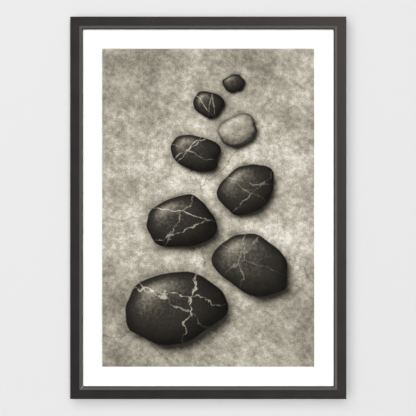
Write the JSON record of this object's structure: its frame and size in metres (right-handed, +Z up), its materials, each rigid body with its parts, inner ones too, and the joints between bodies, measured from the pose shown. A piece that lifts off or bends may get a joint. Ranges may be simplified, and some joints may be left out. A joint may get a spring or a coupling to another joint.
{
  "type": "framed print",
  "caption": "Upright wall-hung frame: dark mitred moulding around glass, a wide white window mat and a toned monochrome print, backed by a board and hung on a toothed hanger.",
  "frame": {"origin": "top of the middle notch of the sawtooth hanger, halfway through its plate, where the wall's nail carries the frame", "axes": "+Z up, +X to the right as seen from the front, and the picture faces -Y with the wall at +Y"},
  "size_m": [0.4328, 0.0258, 0.5992],
  "materials": {
    "charcoal_lacquer": "satin lacquer over fine-grained wood",
    "clear_glass": "clear, polished, low reflection",
    "mat_board": "matt white paper-faced board with a white core",
    "toned_print": "matt warm-toned monochrome print on heavy paper",
    "fibreboard": "bare hardboard",
    "spring_steel": "blued and plain spring steel",
    "zinc_plate": "zinc-plated pressed steel",
    "brass_plate": "brassed steel, polished",
    "dark_rubber": "matt moulded rubber"
  },
  "bodies": {
    "root": {"rail_top": "charcoal_lacquer", "rail_right": "charcoal_lacquer", "rail_bottom": "charcoal_lacquer", "rail_left": "charcoal_lacquer", "glazing": "clear_glass", "mat": "mat_board", "print": "toned_print", "backing_board": "fibreboard", "point_top_1": "spring_steel", "point_top_2": "spring_steel", "point_right_1": "spring_steel", "point_right_2": "spring_steel", "point_right_3": "spring_steel", "point_bottom_1": "spring_steel", "point_bottom_2": "spring_steel", "point_left_1": "spring_steel", "point_left_2": "spring_steel", "point_left_3": "spring_steel", "v_nail_top_left": "spring_steel", "v_nail_top_right": "spring_steel", "v_nail_bottom_left": "spring_steel", "v_nail_bottom_right": "spring_steel", "hanger": "zinc_plate", "hanger_nail_left": "brass_plate", "hanger_nail_right": "brass_plate", "bumper_left": "dark_rubber", "bumper_right": "dark_rubber"}
  },
  "joints": []
}
